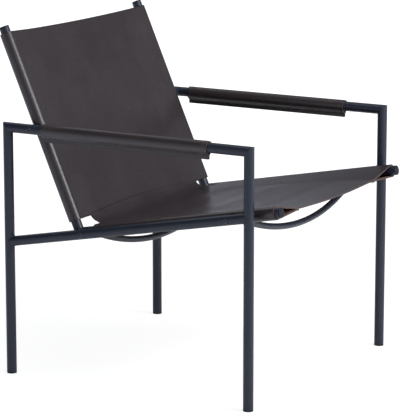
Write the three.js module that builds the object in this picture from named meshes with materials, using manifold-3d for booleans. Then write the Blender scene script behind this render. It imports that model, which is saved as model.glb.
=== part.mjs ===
// A lounge chair: two steel side frames, a tubular cradle bolted between them, and saddle
// leather slings for the seat, the back and the arms. Millimetres, +Z up, the front faces -Y,
// and the origin is on the floor under the middle of the chair.
import * as THREE from "three";
import { mergeVertices } from "three/addons/utils/BufferGeometryUtils.js";
import Module from "manifold-3d";

const wasm = await Module();
wasm.setup();

// Side frames
const frameWidth = 623; // between the axes of the left and right legs
const frameDepth = 600; // between the axes of the front and rear legs
const armHeight = 563.5; // top of the arm rail
const seatRailFrontHeight = 413; // axis of the seat rail at the front leg
const seatRailRearHeight = 298; // axis of the seat rail at the rear leg
const tubeDiameter = 22;
const tubeWall = 2;

// Cradle. Stations are measured along its tubes from the foot, where seat tube meets back tube
const sideGap = 15.3; // between the frame's tubes and the cradle's
const footInset = 160; // foot of the back in front of the rear leg
const reclineDegrees = 23.8; // back from upright
const frontBoltInset = 51; // behind the front leg, along the seat rail
const rearBoltStation = 32.5;
const seatTubeOverhang = 106; // past the front bolt
const backTubeLength = 475;

// Bowed cross rods
const bowDiameter = 14;
const frontBowSag = 59;
const rearBowSag = 57.5;
const backBowSag = 57;

// Leather
const hideThickness = 3.2;
const sleeveHideThickness = 2.7;
const seatWrapSpace = 10; // from the rear bolt's axis to the rear end of the wraps
const seatLeatherInset = 10; // from the front end of the seat tube
const seatFlapWidth = 97; // from the tube's axis to the cut edge of the return flap
const seatSeamDropFront = 19; // below the crest of the tubes, at the line of stitches
const seatSeamDropRear = 2.5;
const seatMiddleDropFront = 25; // below the crest of the tubes, in the middle
const seatMiddleDropRear = 4;
const tailCornerInset = 16; // where the tail leaves the wraps, inwards from the tube's axis
const tailHalfWidth = 226; // where it comes up to the lower edge of the back
const tailLap = 1.5; // over the lower edge of the back, at the tail's corners
const tailArch = 11; // the tail's end rises in the middle
const backLeatherStart = 28;
const backLeatherInset = 12.5; // from the top of the back tube
const backFlapWidth = 90;
const backSeamDropBottom = 13.5;
const backSeamDropTop = 8.2;
const backMiddleDropBottom = 20;
const backMiddleDropTop = 12;
const backTopDip = 2.5;
const stitchMargin = 9; // where flap and sheet lie together
const sleeveFrontSpace = 95; // from the front leg's axis
const sleeveRearSpace = 31; // from the arm bolt's axis
const sleeveDrop = 14; // lower edge below the rail
const sleeveLip = 8; // height that is stitched together

// Fasteners, glides and caps
const boltDiameter = 6;
const boltHeadDiameter = 10.5;
const boltHeadHeight = 3;
const boltHeadCrown = 1; // rounding at the rim
const hexKey = 4;
const hexDepth = 2;
const spotFaceDepth = 1.2; // flat cut in the tube for the head
const spacerDiameter = 16;
const bushDiameter = 10;
const bushLength = 12;
const bushRecess = 1.5; // below the crest of the tube
const boltEngagement = 10; // in the bush
const plugHeadHeight = 2.5; // end caps
const glideHeadHeight = 3;
const plugDepth = 12;
const plugChamfer = 0.8;

// Clearances
const fitGap = 0.3; // between pieces that touch on the real chair
const boltClearance = 0.3; // round the shank
const slotClearance = 1.2; // round what passes through the leather
const cutOverrun = 5; // how far a cutter runs past what it cuts

// Facets
const tubeSides = 32;
const smallSides = 16;
const bowSides = 12;
const bowSteps = 18;
const flapSteps = 2;
const wrapSteps = 8;
const sheetSteps = 7;
const slingRows = 8;
const tailRows = 5;
const sleeveRows = 4;
const mergeDistance = 1e-4;
const notchPower = 4; // how late the notch's edge turns outwards to the wraps

// Derived sizes
const tubeRadius = tubeDiameter / 2;
const tubeBore = tubeRadius - tubeWall;
const halfFrame = frameWidth / 2;
const halfCradle = halfFrame - tubeDiameter - sideGap;
const railHeight = armHeight - tubeRadius;
const seatTilt = Math.atan((seatRailFrontHeight - seatRailRearHeight) / frameDepth);
const recline = THREE.MathUtils.degToRad(reclineDegrees);
const footY = frameDepth / 2 - footInset;
const footHeight = seatRailRearHeight + footInset * Math.tan(seatTilt);
const armBoltStation = (railHeight - footHeight) / Math.cos(recline);
const armBoltY = footY + armBoltStation * Math.sin(recline);
const frontBoltStation = (frameDepth - footInset) / Math.cos(seatTilt) - frontBoltInset;
const seatTubeLength = frontBoltStation + seatTubeOverhang;
const seatLeatherStart = rearBoltStation + seatWrapSpace;
const seatLeatherEnd = seatTubeLength - seatLeatherInset;
const backLeatherEnd = backTubeLength - backLeatherInset;
const foldAngle = Math.PI / 2 + recline - seatTilt; // from the seat tube to the back tube
const headSeat = halfFrame + tubeRadius - spotFaceDepth;
const backLean = foldAngle - Math.PI / 2; // from square to the seat
const cornerX = halfCradle - tailCornerInset;

// Materials
const paint = new THREE.MeshStandardMaterial({ color: 0x30353d, roughness: 0.45, metalness: 0.3 });
const hide = new THREE.MeshStandardMaterial({ color: 0x3a3032, roughness: 0.55, metalness: 0 });
const plastic = new THREE.MeshStandardMaterial({ color: 0x17181a, roughness: 0.6, metalness: 0 });
const blackSteel = new THREE.MeshStandardMaterial({
  color: 0x25272b,
  roughness: 0.4,
  metalness: 0.8,
});

// A closed three.js geometry as a solid that can be cut and joined.
function solidOf(geometry) {
  const bare = geometry.clone();
  bare.deleteAttribute("normal");
  bare.deleteAttribute("uv");
  const merged = mergeVertices(bare, mergeDistance);
  const triVerts = new Uint32Array(merged.index.array);
  const vertProperties = merged.attributes.position.array;
  return new wasm.Manifold(new wasm.Mesh({ numProp: 3, vertProperties, triVerts }));
}

// The solid back as a geometry.
function geometryOf(solid) {
  const { vertProperties, triVerts } = solid.getMesh();
  const geometry = new THREE.BufferGeometry();
  geometry.setAttribute("position", new THREE.BufferAttribute(vertProperties, 3));
  geometry.setIndex(new THREE.BufferAttribute(triVerts, 1));
  const faceted = geometry.toNonIndexed();
  faceted.computeVertexNormals();
  return faceted;
}

// A geometry moved to a place, after a turn given as Euler angles.
function placed(geometry, x, y, z, turnX = 0, turnY = 0, turnZ = 0) {
  const turn = new THREE.Matrix4().makeRotationFromEuler(new THREE.Euler(turnX, turnY, turnZ));
  return geometry.clone().applyMatrix4(turn).translate(x, y, z);
}

// A round piece turned about the Y axis from a profile of [radius, height] pairs.
function turned(profile, sides) {
  const points = profile.map(([radius, height]) => new THREE.Vector2(radius, height));
  return new THREE.LatheGeometry(points, sides);
}

// An open pipe along +Y from y = start to y = end.
function pipe(start, end, radius = tubeRadius, bore = tubeBore) {
  const profile = [
    [bore, start],
    [radius, start],
    [radius, end],
    [bore, end],
    [bore, start],
  ];
  return turned(profile, tubeSides);
}

// A solid round rod along +Y.
function rod(start, end, radius, sides = smallSides) {
  const profile = [
    [0, start],
    [radius, start],
    [radius, end],
    [0, end],
  ];
  return turned(profile, sides);
}

// A rod along X, for the bolt holes and what goes in them.
function crossRod(start, end, radius, sides = smallSides) {
  return placed(rod(start, end, radius, sides), 0, 0, 0, 0, 0, -Math.PI / 2);
}

// What is left of a solid on the side of a plane that its normal points to. The plane holds
// the X axis through (y, z), and its normal leans by `lean` from +Y towards +Z.
function trimmed(solid, y, z, lean, size) {
  const block = new THREE.BoxGeometry(size, size, size).translate(0, -size / 2, 0);
  return solid.subtract(solidOf(placed(block, 0, y, z, lean)));
}

function named(name, geometry, material) {
  const mesh = new THREE.Mesh(geometry, material);
  mesh.name = name;
  return mesh;
}

// A mesh set at a place inside its group.
function at(mesh, x, y, z, turnX = 0, turnY = 0, turnZ = 0) {
  mesh.position.set(x, y, z);
  mesh.rotation.set(turnX, turnY, turnZ);
  return mesh;
}

// Leg: a pipe up the Y axis from the glide, mitred at the top where the arm rail meets it.
function legGeometry() {
  const leg = solidOf(pipe(glideHeadHeight + fitGap, armHeight + cutOverrun));
  const cut = railHeight - fitGap * Math.SQRT1_2;
  return geometryOf(trimmed(leg, cut, 0, Math.PI + Math.PI / 4, 2 * frameDepth));
}

// Arm rail: a pipe along Y, mitred at both ends and bored for the arm bolt.
// Its holes look outwards along +X.
function armRailGeometry() {
  const reach = frameDepth / 2;
  let rail = solidOf(pipe(-reach - tubeDiameter, reach + tubeDiameter));
  const cut = reach - fitGap * Math.SQRT1_2;
  rail = trimmed(rail, cut, 0, Math.PI - Math.PI / 4, 2 * frameDepth);
  rail = trimmed(rail, -cut, 0, Math.PI / 4, 2 * frameDepth);
  return geometryOf(boltBored(rail, armBoltY));
}

// The hole through both walls and the spot face for the bolt's head, at y along the tube.
function boltBored(solid, y) {
  const hole = crossRod(-tubeDiameter, tubeDiameter, boltDiameter / 2 + boltClearance);
  const face = crossRod(
    tubeRadius - spotFaceDepth,
    tubeDiameter,
    boltHeadDiameter / 2 + boltClearance,
  );
  return solid
    .subtract(solidOf(placed(hole, 0, y, 0)))
    .subtract(solidOf(placed(face, 0, y, 0)));
}

// Seat rail: a pipe along +Y from the rear leg's axis to the front leg's, coped to both.
function seatRailGeometry() {
  const length = frameDepth / Math.cos(seatTilt);
  let rail = solidOf(pipe(0, length));
  for (const y of [0, length]) {
    const reach = 2 * tubeDiameter;
    const leg = rod(-reach, reach, tubeRadius + fitGap, tubeSides);
    rail = rail.subtract(solidOf(placed(leg, 0, y, 0, Math.PI / 2 - seatTilt)));
  }
  const foot = footInset / Math.cos(seatTilt);
  rail = boltBored(rail, foot + rearBoltStation);
  rail = boltBored(rail, foot + frontBoltStation);
  return geometryOf(rail);
}

// End plug: a chamfered head on a spigot that fits the tube's bore. The head's underside is at
// y = 0 and the spigot runs down.
function plugGeometry(headHeight) {
  const spigot = tubeBore - fitGap;
  const profile = [
    [0, -plugDepth],
    [spigot, -plugDepth],
    [spigot, 0],
    [tubeRadius, 0],
    [tubeRadius, headHeight - plugChamfer],
    [tubeRadius - plugChamfer, headHeight],
    [0, headHeight],
  ];
  return turned(profile, smallSides);
}

// Spacer: a short sleeve along X from the cradle tube to the frame tube, coped to both. The
// cradle tube leans by `lean` against the frame tube.
function spacerGeometry(lean) {
  let spacer = solidOf(crossRod(0, sideGap + tubeDiameter, spacerDiameter / 2));
  const reach = spacerDiameter;
  const neighbour = rod(-reach, reach, tubeRadius + fitGap, tubeSides);
  const hole = crossRod(
    -cutOverrun,
    sideGap + tubeDiameter + cutOverrun,
    boltDiameter / 2 + boltClearance,
  );
  spacer = spacer.subtract(solidOf(placed(neighbour, 0, 0, 0, lean)));
  spacer = spacer.subtract(solidOf(placed(neighbour, sideGap + tubeDiameter, 0, 0)));
  return geometryOf(spacer.subtract(solidOf(hole)));
}

// Bolt along X: the head's underside is at x = 0, the shank runs inwards to -X.
function boltGeometry() {
  const headRadius = boltHeadDiameter / 2;
  const shankLength = headSeat - (halfCradle + tubeRadius - bushRecess) + boltEngagement;
  const profile = [
    [0, -shankLength],
    [boltDiameter / 2, -shankLength],
    [boltDiameter / 2, 0],
    [headRadius, 0],
    [headRadius, boltHeadHeight - boltHeadCrown],
    [headRadius - boltHeadCrown, boltHeadHeight],
    [0, boltHeadHeight],
  ];
  const bolt = placed(turned(profile, smallSides), 0, 0, 0, 0, 0, -Math.PI / 2);
  const hexSides = 6;
  const hexRadius = hexKey / 2 / Math.cos(Math.PI / hexSides);
  const socket = crossRod(
    boltHeadHeight - hexDepth,
    boltHeadHeight + cutOverrun,
    hexRadius,
    hexSides,
  );
  return geometryOf(solidOf(bolt).subtract(solidOf(socket)));
}

// Threaded bush along X, its outer end at x = 0.
function bushGeometry() {
  const bush = crossRod(-bushLength, 0, bushDiameter / 2);
  const bore = crossRod(-bushLength - cutOverrun, cutOverrun, boltDiameter / 2 + boltClearance);
  return geometryOf(solidOf(bush).subtract(solidOf(bore)));
}

// Cradle tube along +Y from the foot, mitred there, with bush holes in its outer side (+X).
function cradleTubeGeometry(length, stations) {
  let tube = solidOf(pipe(-tubeDiameter, length));
  const gap = fitGap / 2;
  const lean = foldAngle / 2 - Math.PI / 2;
  tube = trimmed(tube, gap * Math.cos(lean), gap * Math.sin(lean), lean, 2 * length);
  for (const y of stations) {
    const hole = crossRod(0, tubeDiameter, bushDiameter / 2 + fitGap);
    tube = tube.subtract(solidOf(placed(hole, 0, y, 0)));
  }
  return geometryOf(tube);
}

// A circular arc in the XZ plane between the two cradle tubes that hangs `sag` below them.
class BowCurve extends THREE.Curve {
  constructor(sag) {
    super();
    this.radius = (halfCradle ** 2 + sag ** 2) / (2 * sag);
    this.half = Math.asin(halfCradle / this.radius);
    this.centre = this.radius - sag;
  }

  getPoint(share, target = new THREE.Vector3()) {
    const angle = (2 * share - 1) * this.half;
    const z = this.centre - this.radius * Math.cos(angle);
    return target.set(this.radius * Math.sin(angle), 0, z);
  }
}

// The rod that follows the arc, as thick as `radius`.
function bowRod(sag, radius) {
  const corners = Array.from({ length: bowSides }, (_, i) => {
    const angle = (2 * Math.PI * i) / bowSides;
    return new THREE.Vector2(radius * Math.cos(angle), radius * Math.sin(angle));
  });
  const section = new THREE.Shape(corners);
  return new THREE.ExtrudeGeometry(section, { steps: bowSteps, extrudePath: new BowCurve(sag) });
}

// Bow: the rod coped to the cradle tube at each end.
function bowGeometry(sag) {
  let bow = solidOf(bowRod(sag, bowDiameter / 2));
  const reach = tubeDiameter;
  const tube = rod(-reach, reach, tubeRadius + fitGap, tubeSides);
  for (const x of [-halfCradle, halfCradle]) {
    bow = bow.subtract(solidOf(placed(tube, x, 0, 0)));
  }
  return geometryOf(bow);
}

// Points of a straight line from a to b in `count` steps, without its last point.
function lineOf([ax, az], [bx, bz], count) {
  return Array.from({ length: count }, (_, i) => {
    const share = i / count;
    return [ax + (bx - ax) * share, az + (bz - az) * share];
  });
}

// Points of an arc round a centre in `count` steps, without its last point.
function arcOf([x, z], radius, from, to, count) {
  return Array.from({ length: count }, (_, i) => {
    const angle = from + ((to - from) * i) / count;
    return [x + radius * Math.cos(angle), z + radius * Math.sin(angle)];
  });
}

// How a sheet hangs between the two tubes: it leaves each tube at a tangent, runs straight to the
// edge of the return flap, and hangs from there in a parabola. Sizes are of its middle layer.
function hangingSheet({ flapWidth, seamDrop, middleDrop }) {
  const radius = tubeRadius + fitGap + hideThickness / 2;
  const seamX = halfCradle - flapWidth;
  const seamZ = radius - seamDrop;
  const bearing = Math.PI - Math.atan2(seamZ, flapWidth);
  const leave = bearing - Math.acos(radius / Math.hypot(flapWidth, seamZ));
  const startX = halfCradle + radius * Math.cos(leave);
  const startZ = radius * Math.sin(leave);
  const slope = (startZ - seamZ) / (startX - seamX);
  const hang = (x) => seamZ - (middleDrop - seamDrop) * (1 - (x / seamX) ** 2);
  const heightAt = (x) => (Math.abs(x) > seamX ? seamZ + slope * (Math.abs(x) - seamX) : hang(x));
  return { radius, leave, startX, seamX, heightAt };
}

// Half of a sling's section, from the cut edge of the return flap round the tube to the middle
// of the sheet, as [x, z] pairs on the +X side. The flap runs from the far side of the tube
// straight to where it lies against the sheet.
function slingHalfSection(hanging) {
  const { radius, leave, startX, seamX, heightAt } = hangingSheet(hanging);
  const layer = hideThickness + fitGap;
  const tipX = seamX + stitchMargin;
  const edge = [seamX, heightAt(seamX) - layer];
  const tip = [tipX, heightAt(tipX) - layer];
  const [dx, dz] = [tip[0] - halfCradle, tip[1]];
  const turn = Math.atan2(dz, dx) + Math.acos(radius / Math.hypot(dx, dz));
  const touch = turn > 0 ? turn - 2 * Math.PI : turn;
  const off = [halfCradle + radius * Math.cos(touch), radius * Math.sin(touch)];
  const middle = Array.from({ length: sheetSteps }, (_, i) => {
    const x = seamX * (1 - i / (sheetSteps - 1));
    return [x, heightAt(x)];
  });
  return [
    edge,
    ...lineOf(tip, off, flapSteps),
    ...arcOf([halfCradle, 0], radius, touch, leave, wrapSteps),
    [startX, heightAt(startX)],
    [cornerX, heightAt(cornerX)],
    ...middle,
  ];
}

// Half of a sleeve's section, from its lower edge up the stitched lip and round the rail to the
// top, as [x, z] pairs from the rail's axis.
function sleeveHalfSection() {
  const radius = tubeRadius + fitGap + sleeveHideThickness / 2;
  const lipX = (sleeveHideThickness + fitGap) / 2;
  const edgeZ = -tubeRadius - sleeveDrop;
  const tip = [lipX, edgeZ + sleeveLip];
  const touch = Math.atan2(tip[1], tip[0]) + Math.acos(radius / Math.hypot(...tip));
  const off = [radius * Math.cos(touch), radius * Math.sin(touch)];
  return [
    [lipX, edgeZ],
    ...lineOf(tip, off, 1),
    ...arcOf([0, 0], radius, touch, Math.PI / 2, wrapSteps),
    [0, radius],
  ];
}

// The whole section from one edge to the other, from the half on the +X side.
function mirrored(half) {
  const other = half
    .slice(0, -1)
    .reverse()
    .map(([x, z]) => [-x, z]);
  return [...half, ...other];
}

// The two faces of a hide at one point of a grid of rows: half its thickness to either side of
// the middle layer, square to the row and to the column. A point that is cut away is null.
function facesAt(rows, j, i, thickness) {
  const point = rows[j][i];
  if (!point) return null;
  const between = (before, after) => {
    const from = new THREE.Vector3(...(before ?? point));
    return new THREE.Vector3(...(after ?? point)).sub(from);
  };
  const along = between(rows[j][i - 1], rows[j][i + 1]);
  const across = between(rows[j - 1]?.[i], rows[j + 1]?.[i]);
  const out = across.cross(along).setLength(thickness / 2);
  const here = new THREE.Vector3(...point);
  return [here.clone().add(out), here.clone().sub(out)];
}

// A hide of even thickness as one closed solid. Each row is a section across its length, a list
// of [x, y, z] points of the middle layer from +X to -X, with null where the hide is cut away.
function hideGeometry(rows, thickness) {
  const grid = rows.map((row, j) => row.map((_, i) => facesAt(rows, j, i, thickness)));
  const positions = [];
  const quad = (a, b, c, d) => {
    for (const corner of [a, b, c, a, c, d]) positions.push(...corner.toArray());
  };
  const kept = (j, i) =>
    Boolean(grid[j]?.[i] && grid[j]?.[i + 1] && grid[j + 1]?.[i] && grid[j + 1]?.[i + 1]);
  for (let j = 0; j + 1 < grid.length; j++) {
    for (let i = 0; i + 1 < grid[j].length; i++) {
      if (!kept(j, i)) continue;
      const [a, b] = [grid[j][i], grid[j][i + 1]];
      const [d, c] = [grid[j + 1][i], grid[j + 1][i + 1]];
      quad(a[0], d[0], c[0], b[0]);
      quad(a[1], b[1], c[1], d[1]);
      if (!kept(j - 1, i)) quad(a[0], b[0], b[1], a[1]);
      if (!kept(j + 1, i)) quad(d[1], c[1], c[0], d[0]);
      if (!kept(j, i - 1)) quad(a[1], d[1], d[0], a[0]);
      if (!kept(j, i + 1)) quad(c[1], b[1], b[0], c[0]);
    }
  }
  const geometry = new THREE.BufferGeometry();
  geometry.setAttribute("position", new THREE.Float32BufferAttribute(positions, 3));
  return mergeVertices(geometry, mergeDistance);
}

// A sling with the slots for the bow and the round holes for the spacers at a bolt station.
function pierced(sling, station, bowSag) {
  const radius = spacerDiameter / 2 + slotClearance;
  const bow = bowRod(bowSag, bowDiameter / 2 + slotClearance);
  const spacer = crossRod(0, tubeDiameter, radius);
  const otherSpacer = crossRod(-tubeDiameter, 0, radius);
  return sling
    .subtract(solidOf(placed(bow, 0, station, 0)))
    .subtract(solidOf(placed(spacer, halfCradle, station, 0)))
    .subtract(solidOf(placed(otherSpacer, -halfCradle, station, 0)));
}

// How the back sling hangs at a share of its length from the lower edge.
function backHanging(share) {
  return {
    flapWidth: backFlapWidth,
    seamDrop: backSeamDropBottom + (backSeamDropTop - backSeamDropBottom) * share,
    middleDrop: backMiddleDropBottom + (backMiddleDropTop - backMiddleDropBottom) * share,
  };
}

// How the seat sling hangs at a share of its length from the rear end of the wraps.
function seatHanging(share) {
  return {
    flapWidth: seatFlapWidth,
    seamDrop: seatSeamDropRear + (seatSeamDropFront - seatSeamDropRear) * share,
    middleDrop: seatMiddleDropRear + (seatMiddleDropFront - seatMiddleDropRear) * share,
  };
}

// The end of the seat sling's tail at a distance x from the middle, in the seat's frame. It lies
// on the front of the back sling, over its lower edge.
function tailEndAt(x) {
  const station = backLeatherStart + tailLap + tailArch * (1 - (x / tailHalfWidth) ** 2);
  const depth = hangingSheet(backHanging(0)).heightAt(x) + hideThickness + fitGap;
  const y = depth * Math.cos(backLean) - station * Math.sin(backLean);
  const z = depth * Math.sin(backLean) + station * Math.cos(backLean);
  return [y, z];
}

// Rows of the seat sling's tail, from its end to the wraps. Each column bends down from the back
// to the seat in a quadratic curve that is tangent to both. At the sides the notches round the
// feet of the back tubes run out to the wraps.
function tailRowsOf() {
  const section = slingHalfSection(seatHanging(0));
  const first = section.length - sheetSteps - 1;
  const count = mirrored(section).length;
  const backSeamX = halfCradle - backFlapWidth;
  const endX = (k) => (k < 1 ? tailHalfWidth : backSeamX * (1 - (k - 1) / (sheetSteps - 1)));
  return Array.from({ length: tailRows }, (_, j) => {
    const share = j / tailRows;
    return Array.from({ length: count }, (_, i) => {
      const column = Math.min(i, count - 1 - i) - first;
      if (column < 0) return null;
      const side = 2 * i < count ? 1 : -1;
      const [seatX, seatZ] = section[first + column];
      const x = endX(column) + (seatX - endX(column)) * share ** notchPower;
      const [endY, endZ] = tailEndAt(endX(column));
      const cornerY = endY + (endZ - seatZ) * Math.tan(backLean);
      const ends = [(1 - share) ** 2, share ** 2];
      const y = ends[0] * endY + (1 - ends[0] - ends[1]) * cornerY + ends[1] * seatLeatherStart;
      const z = ends[0] * endZ + (1 - ends[0]) * seatZ;
      return [side * x, y, z];
    });
  });
}

// Seat sling: it hangs lower towards the front edge.
function seatSlingGeometry() {
  const mainRows = Array.from({ length: slingRows + 1 }, (_, j) => {
    const share = j / slingRows;
    const y = seatLeatherStart + (seatLeatherEnd - seatLeatherStart) * share;
    return mirrored(slingHalfSection(seatHanging(share))).map(([x, z]) => [x, y, z]);
  });
  const rows = [...tailRowsOf(), ...mainRows];
  const sling = solidOf(hideGeometry(rows, hideThickness));
  return geometryOf(pierced(sling, frontBoltStation, frontBowSag));
}

// Back sling: it hangs deeper towards its lower edge.
function backSlingGeometry() {
  const rows = Array.from({ length: slingRows + 1 }, (_, j) => {
    const share = j / slingRows;
    return mirrored(slingHalfSection(backHanging(share))).map(([x, z]) => {
      const top = backLeatherEnd - backTopDip * Math.max(0, 1 - (x / halfCradle) ** 2);
      return [x, backLeatherStart + (top - backLeatherStart) * share, z];
    });
  });
  const sling = solidOf(hideGeometry(rows, hideThickness));
  return geometryOf(pierced(sling, armBoltStation, backBowSag));
}

// Arm sleeve: one hide folded over the rail and stitched to itself below.
function sleeveGeometry() {
  const front = sleeveFrontSpace - frameDepth / 2;
  const rear = armBoltY - sleeveRearSpace;
  const rows = Array.from({ length: sleeveRows + 1 }, (_, j) => {
    const y = front + ((rear - front) * j) / sleeveRows;
    return mirrored(sleeveHalfSection()).map(([x, z]) => [x, y, z]);
  });
  return hideGeometry(rows, sleeveHideThickness);
}

// A group whose +Y runs from the foot of the back along the seat to the front, and whose +Z
// points up to the sitter.
function alongSeat() {
  const group = new THREE.Group();
  group.position.set(0, footY, footHeight);
  group.rotation.x = -seatTilt;
  group.scale.y = -1;
  return group;
}

// A group whose +Y runs from the foot up the back, and whose +Z points forwards to the sitter.
function alongBack() {
  const group = new THREE.Group();
  group.position.set(0, footY, footHeight);
  group.rotation.x = Math.PI / 2 - recline;
  return group;
}

// One side frame in the plane x = 0 of its group, its bolt heads facing +X.
function sideFrame(name) {
  const frame = new THREE.Group();
  const leg = legGeometry();
  const glide = plugGeometry(glideHeadHeight);
  for (const [place, y, turn] of [
    ["front", -frameDepth / 2, Math.PI],
    ["rear", frameDepth / 2, 0],
  ]) {
    frame.add(at(named(`${name}_${place}_leg`, leg, paint), 0, y, 0, Math.PI / 2, turn));
    const mesh = named(`${name}_${place}_glide`, glide, plastic);
    frame.add(at(mesh, 0, y, glideHeadHeight, -Math.PI / 2));
  }
  frame.add(at(named(`${name}_arm_rail`, armRailGeometry(), paint), 0, 0, railHeight));
  frame.add(at(named(`${name}_arm_sleeve`, sleeveGeometry(), hide), 0, 0, railHeight));
  const rail = named(`${name}_seat_rail`, seatRailGeometry(), paint);
  at(rail, 0, frameDepth / 2, seatRailRearHeight, -seatTilt);
  rail.scale.y = -1;
  return frame.add(rail);
}

// The spacer, bolt and bush of one bolt, in the group's plane of the bolt's axis.
function boltSet(name, spacer) {
  const set = new THREE.Group();
  const bushX = halfCradle + tubeRadius - bushRecess;
  set.add(at(named(`${name}_spacer`, spacer, paint), halfCradle, 0, 0));
  set.add(at(named(`${name}_bolt`, boltGeometry(), blackSteel), headSeat + fitGap, 0, 0));
  set.add(at(named(`${name}_bush`, bushGeometry(), blackSteel), bushX, 0, 0));
  return set;
}

// One side of the chair, built on the +X side: the frame, the cradle's seat tube and back tube,
// and the bolts between them.
function chairSide(name) {
  const side = new THREE.Group();
  side.add(at(sideFrame(name), halfFrame, 0, 0));

  const seat = alongSeat();
  const seatTube = cradleTubeGeometry(seatTubeLength, [rearBoltStation, frontBoltStation]);
  const cap = plugGeometry(plugHeadHeight);
  seat.add(at(named(`${name}_seat_tube`, seatTube, paint), halfCradle, 0, 0));
  seat.add(at(named(`${name}_seat_cap`, cap, plastic), halfCradle, seatTubeLength + fitGap, 0));
  seat.add(at(boltSet(`${name}_seat_front`, spacerGeometry(0)), 0, frontBoltStation, 0));
  seat.add(at(boltSet(`${name}_seat_rear`, spacerGeometry(0)), 0, rearBoltStation, 0));

  const back = alongBack();
  const backTube = cradleTubeGeometry(backTubeLength, [armBoltStation]);
  back.add(at(named(`${name}_back_tube`, backTube, paint), halfCradle, 0, 0));
  back.add(at(named(`${name}_back_cap`, cap, plastic), halfCradle, backTubeLength + fitGap, 0));

  const armSpacer = spacerGeometry(Math.PI / 2 - recline);
  side.add(at(boltSet(`${name}_arm`, armSpacer), 0, armBoltY, railHeight));
  return side.add(seat, back);
}

// The pieces that span the chair: the bows and the slings.
function crossPieces() {
  const seat = alongSeat();
  const frontBow = named("front_bow", bowGeometry(frontBowSag), paint);
  const rearBow = named("rear_bow", bowGeometry(rearBowSag), paint);
  seat.add(at(frontBow, 0, frontBoltStation, 0));
  seat.add(at(rearBow, 0, rearBoltStation, 0));
  seat.add(named("seat_sling", seatSlingGeometry(), hide));
  const back = alongBack();
  back.add(at(named("back_bow", bowGeometry(backBowSag), paint), 0, armBoltStation, 0));
  back.add(named("back_sling", backSlingGeometry(), hide));
  return [seat, back];
}

// Left and right are as seen from the front. The left side is the right one mirrored.
const chair = new THREE.Group();
const leftSide = chairSide("left");
leftSide.scale.x = -1;
chair.add(chairSide("right"), leftSide, ...crossPieces());

// The middle of the chair's length goes to y = 0.
const length = new THREE.Box3().setFromObject(chair);
chair.position.y = -(length.min.y + length.max.y) / 2;

export default chair;
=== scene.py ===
import bmesh
import bpy
import numpy as np
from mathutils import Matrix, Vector


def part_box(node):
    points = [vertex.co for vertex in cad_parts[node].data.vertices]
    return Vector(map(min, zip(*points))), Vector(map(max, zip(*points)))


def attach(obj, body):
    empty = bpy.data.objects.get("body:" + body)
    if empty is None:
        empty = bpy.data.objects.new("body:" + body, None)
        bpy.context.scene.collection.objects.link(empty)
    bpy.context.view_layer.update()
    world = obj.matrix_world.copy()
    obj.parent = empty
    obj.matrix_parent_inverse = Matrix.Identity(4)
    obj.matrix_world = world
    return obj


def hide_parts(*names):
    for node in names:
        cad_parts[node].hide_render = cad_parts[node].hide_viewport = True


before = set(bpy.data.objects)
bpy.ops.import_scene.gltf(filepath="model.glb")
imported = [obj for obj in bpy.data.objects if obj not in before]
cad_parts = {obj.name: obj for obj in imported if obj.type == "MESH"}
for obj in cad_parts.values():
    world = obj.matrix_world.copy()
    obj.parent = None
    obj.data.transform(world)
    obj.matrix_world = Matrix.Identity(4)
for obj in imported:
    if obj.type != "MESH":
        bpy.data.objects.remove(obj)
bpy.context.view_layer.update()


# Places from the frame

chair = dict(
    tubeWall=0.002,
    seatRailRearZ=0.298,  # axis of the seat rail at the rear leg
    rearStation=0.0325,  # rear bolt, along the seat tube from the foot of the back
    seatOverhang=0.106,  # of the seat tube past its front bolt
    backTubeLength=0.475,
    fitGap=0.0003,
)


# Middle of a node's box.
def boxCentre(node):
    low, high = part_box(node)
    return (np.array(low) + np.array(high)) / 2


# A vector over its own length.
def unit(vector):
    return vector / np.linalg.norm(vector)


# Where a bolt's axis crosses the chair's middle plane.
def boltCentre(name):
    centre = boxCentre(f"right_{name}_spacer")
    return np.array([0.0, centre[1], centre[2]])


legLow, legHigh = (np.array(corner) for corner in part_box("right_front_leg"))
rearBolt = boltCentre("seat_rear")
frontBolt = boltCentre("seat_front")
armBolt = boltCentre("arm")
seatAlong = unit(frontBolt - rearBolt)
foot = rearBolt - chair["rearStation"] * seatAlong
backAlong = unit(armBolt - foot)
sideways = np.array([1.0, 0.0, 0.0])
forwards = np.array([0.0, -1.0, 0.0])
upright = np.array([0.0, 0.0, 1.0])

chair.update(
    tubeRadius=(legHigh[0] - legLow[0]) / 2,
    halfFrame=(legHigh[0] + legLow[0]) / 2,
    halfCradle=boxCentre("right_seat_tube")[0],
    frontLegY=(legHigh[1] + legLow[1]) / 2,
    rearLegY=boxCentre("right_rear_leg")[1],
    legFoot=legLow[2],
    frontStation=np.linalg.norm(frontBolt - foot),
    armStation=np.linalg.norm(armBolt - foot),
)
chair["tubeBore"] = chair["tubeRadius"] - chair["tubeWall"]
chair["railZ"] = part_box("right_arm_rail")[1][2] - chair["tubeRadius"]
chair["seatTubeLength"] = chair["frontStation"] + chair["seatOverhang"]

# A set of axes is an origin with its side, along and up directions. The cradle's two start at the
# foot of the back: up is out of the top of the seat, and out of the front of the back.
seatAxes = (foot, sideways, seatAlong, np.cross(seatAlong, sideways))
backAxes = (foot, sideways, backAlong, np.cross(sideways, backAlong))
cradleParts = (("seat", seatAxes, chair["seatTubeLength"]), ("back", backAxes, chair["backTubeLength"]))

# Each leg's name, its place along Y and the slope of its mitre.
legParts = (("front", chair["frontLegY"], -1), ("rear", chair["rearLegY"], 1))


# The same directions from an origin that is moved along them.
def shifted(axes, side=0.0, along=0.0, up=0.0):
    origin = axes[0] + side * axes[1] + along * axes[2] + up * axes[3]
    return (origin, *axes[1:])


# Points given as side, along and up in a set of axes, in the chair's own frame.
def place(points, axes):
    origin, side, along, up = axes
    p = np.asarray(points)
    return origin + p[..., 0:1] * side + p[..., 1:2] * along + p[..., 2:3] * up


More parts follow.
